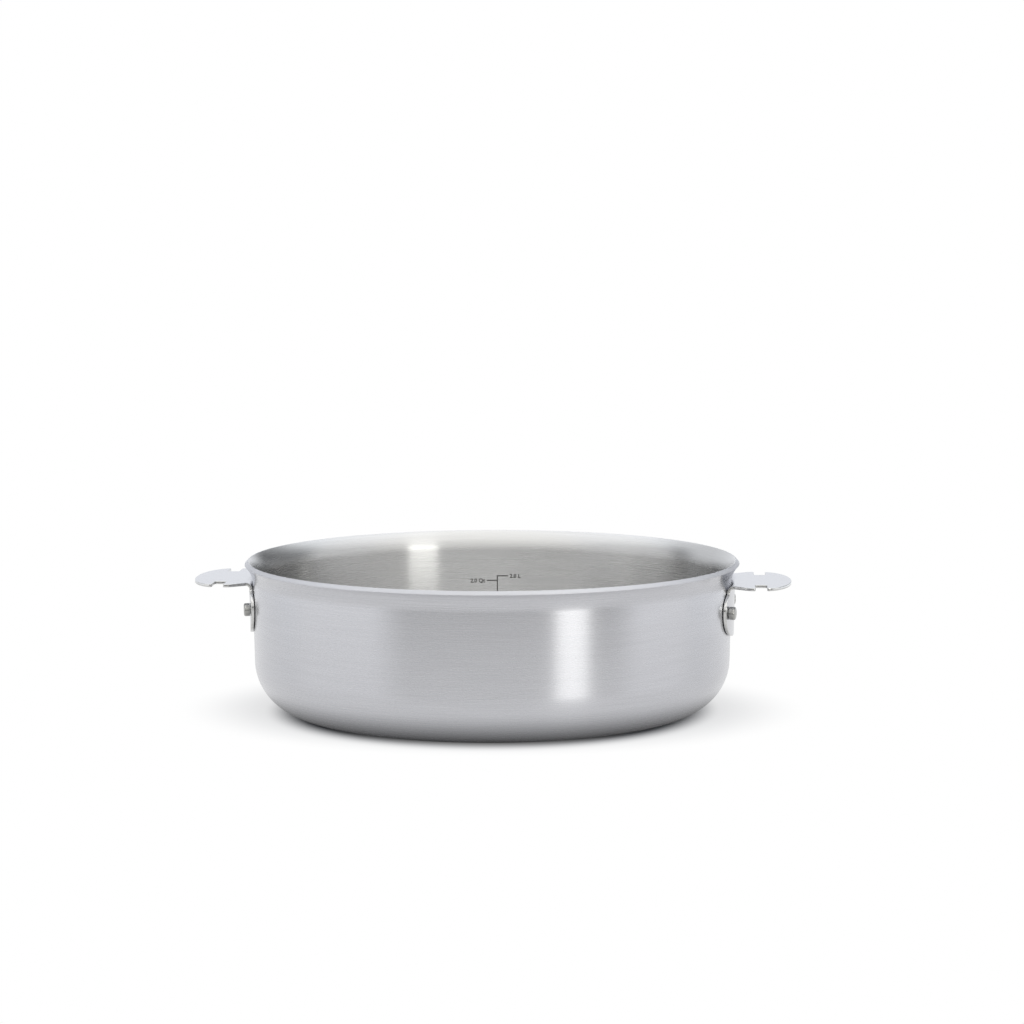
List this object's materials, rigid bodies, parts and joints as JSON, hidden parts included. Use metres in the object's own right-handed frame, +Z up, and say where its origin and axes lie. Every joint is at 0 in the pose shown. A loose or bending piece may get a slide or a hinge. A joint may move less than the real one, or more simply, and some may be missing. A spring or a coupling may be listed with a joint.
{
  "type": "saute pan",
  "caption": "Low straight-sided saute pan of clad steel sheet with a flared pouring lip and notched, riveted side lugs that take a clip-on handle.",
  "frame": {"origin": "middle of the base, on the surface that the pan stands on", "axes": "+Z up along the pan's axis, +X through the right lug, -Y towards the viewer of the picture"},
  "size_m": [0.2994, 0.2478, 0.076],
  "materials": {
    "outside_steel": "satin, brushed round the pan",
    "core_aluminium": "bare, hidden between the steel plies",
    "inside_steel": "satin, brushed round the pan",
    "lug_steel": "polished",
    "rivet_steel": "turned, satin"
  },
  "bodies": {
    "root": {"outer_steel_ply": "outside_steel", "aluminium_core": "core_aluminium", "inner_steel_ply": "inside_steel", "lug_right": "lug_steel", "lug_left": "lug_steel", "rivet_right_front": "rivet_steel", "rivet_right_back": "rivet_steel", "rivet_left_front": "rivet_steel", "rivet_left_back": "rivet_steel"}
  },
  "joints": []
}
